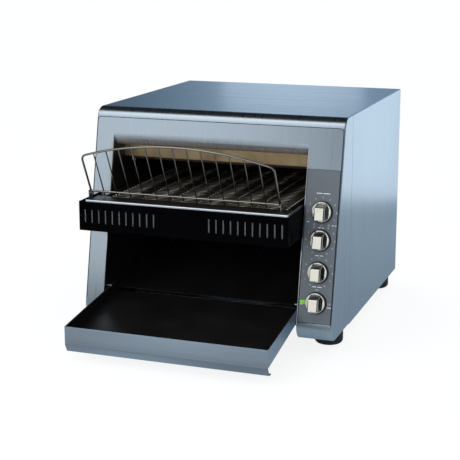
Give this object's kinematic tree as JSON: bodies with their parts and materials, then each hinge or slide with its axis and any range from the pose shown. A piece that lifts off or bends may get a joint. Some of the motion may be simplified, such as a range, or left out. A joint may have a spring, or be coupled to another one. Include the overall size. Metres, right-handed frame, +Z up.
{
  "type": "conveyor toaster",
  "caption": "Countertop conveyor toaster: bread leans on a wire rack, rides a wire belt under heating rods and slides down a chute into a front tray; control panel on the right.",
  "frame": {"origin": "middle of the footprint, at the bottom of the feet", "axes": "+X to the operator's right, +Y to the back, +Z up"},
  "size_m": [0.49, 0.719, 0.43],
  "materials": {
    "stainless": "fine vertical brushing, satin",
    "zinc_steel": "plain zinc-plated sheet and fasteners",
    "black_enamel": "heat-proof satin black",
    "gloss_black": "smooth gloss black",
    "tinted_steel": "steel tinted straw and brown by heat",
    "wool": "matted mineral wool",
    "element_sheath": "oxidised metal sheath, matt",
    "ceramic": "unglazed ceramic",
    "bright_wire": "bright drawn wire",
    "turned_steel": "turned steel, lightly oiled",
    "bronze": "sintered bronze, dull",
    "polished": "polished stainless",
    "knob_chrome": "bright chrome plating",
    "black_rubber": "matt moulded rubber",
    "overlay_print": "dark grey-blue printed plate, satin",
    "lamp_green": "glowing green lens",
    "black_plastic": "moulded glass-filled plastic",
    "motor_paint": "semi-gloss black",
    "white_nylon": "natural nylon",
    "circuit_board": "green solder resist",
    "loom_sleeve": "braided heat-proof sleeve"
  },
  "bodies": {
    "cabinet": {"front_cap": "stainless", "casing_wrap": "stainless", "back_panel": "stainless", "feed_side_trim": "stainless", "base_pan": "zinc_steel", "gearbox": "zinc_steel", "motor_standoffs": "zinc_steel", "tray_supports": "zinc_steel", "guard_brackets": "zinc_steel", "rack_pivots": "zinc_steel", "back_screws": "zinc_steel", "oven_side_left": "black_enamel", "oven_side_right": "black_enamel", "toast_chute": "black_enamel", "feed_shelf": "black_enamel", "conveyor_rail_left": "black_enamel", "conveyor_rail_right": "black_enamel", "front_guard": "gloss_black", "upper_reflector": "tinted_steel", "feed_baffle": "tinted_steel", "lower_reflector": "tinted_steel", "insulation_pad": "wool", "upper_elements": "element_sheath", "lower_elements": "element_sheath", "element_bushings": "ceramic", "conveyor_belt": "bright_wire", "fan_guard": "bright_wire", "conveyor_ties": "turned_steel", "drive_chain": "turned_steel", "shaft_bearings": "bronze", "shelf_nose": "polished", "feet": "black_rubber", "control_overlay": "overlay_print", "pilot_lamp": "lamp_green", "fan_frame": "black_plastic", "cord_inlet": "black_plastic", "speed_control": "black_plastic", "upper_heat_switch": "black_plastic", "lower_heat_switch": "black_plastic", "power_switch": "black_plastic", "drive_motor": "motor_paint", "terminal_block": "white_nylon", "speed_board": "circuit_board", "wiring_loom": "loom_sleeve"},
    "drive": {"drive_shaft": "turned_steel", "drive_sprockets": "turned_steel", "chain_wheel": "turned_steel"},
    "idler": {"idler_shaft": "turned_steel", "idler_sprockets": "turned_steel"},
    "motor_wheel": {"motor_sprocket": "turned_steel"},
    "fan": {"fan_rotor": "black_plastic"},
    "speed_dial": {"knob_speed": "knob_chrome"},
    "upper_heat_dial": {"knob_upper_heat": "knob_chrome"},
    "lower_heat_dial": {"knob_lower_heat": "knob_chrome"},
    "power_dial": {"knob_power": "knob_chrome"},
    "tray": {"discharge_tray": "stainless", "tray_liner": "black_enamel"},
    "crumb_drawer": {"crumb_tray": "zinc_steel"},
    "rack": {"feed_rack": "bright_wire"}
  },
  "joints": [
    {"name": "speed_turn", "type": "hinge", "parent": "cabinet", "child": "speed_dial", "pos_m": [0.2125, -0.15633, 0.264], "axis": [0, 0.9796, -0.2011], "range_deg": [0, 270]},
    {"name": "upper_heat_turn", "type": "hinge", "parent": "cabinet", "child": "upper_heat_dial", "pos_m": [0.2125, -0.1666, 0.214], "axis": [0, 0.9796, -0.2011], "range_deg": [0, 270]},
    {"name": "lower_heat_turn", "type": "hinge", "parent": "cabinet", "child": "lower_heat_dial", "pos_m": [0.2125, -0.1783, 0.157], "axis": [0, 0.9796, -0.2011], "range_deg": [0, 270]},
    {"name": "power_turn", "type": "hinge", "parent": "cabinet", "child": "power_dial", "pos_m": [0.2125, -0.18938, 0.103], "axis": [0, 0.9796, -0.2011], "range_deg": [0, 90]},
    {"name": "drive_spin", "type": "hinge", "parent": "cabinet", "child": "drive", "pos_m": [0, 0.2603, 0.24997], "axis": [-1, 0, 0], "continuous": true},
    {"name": "idler_spin", "type": "hinge", "parent": "cabinet", "child": "idler", "pos_m": [0, -0.1715, 0.24997], "axis": [-1, 0, 0], "continuous": true},
    {"name": "motor_spin", "type": "hinge", "parent": "cabinet", "child": "motor_wheel", "pos_m": [0.19, 0.2603, 0.16107], "axis": [-1, 0, 0], "continuous": true},
    {"name": "fan_spin", "type": "hinge", "parent": "cabinet", "child": "fan", "pos_m": [0.13, 0.34, 0.14], "axis": [0, 1, 0], "continuous": true},
    {"name": "tray_slide", "type": "slide", "parent": "cabinet", "child": "tray", "axis": [0, -0.9851, -0.1719], "range_m": [0, 0.03]},
    {"name": "crumb_slide", "type": "slide", "parent": "cabinet", "child": "crumb_drawer", "axis": [0, 1, 0], "range_m": [0, 0.25]},
    {"name": "rack_fold", "type": "hinge", "parent": "cabinet", "child": "rack", "pos_m": [-0.0375, -0.2025, 0.278], "axis": [-1, 0, 0], "range_deg": [0, 25]}
  ],
  "couplings": [
    {"joint": "idler_spin", "follows": "drive_spin", "ratio": 1},
    {"joint": "motor_spin", "follows": "drive_spin", "ratio": 1}
  ]
}
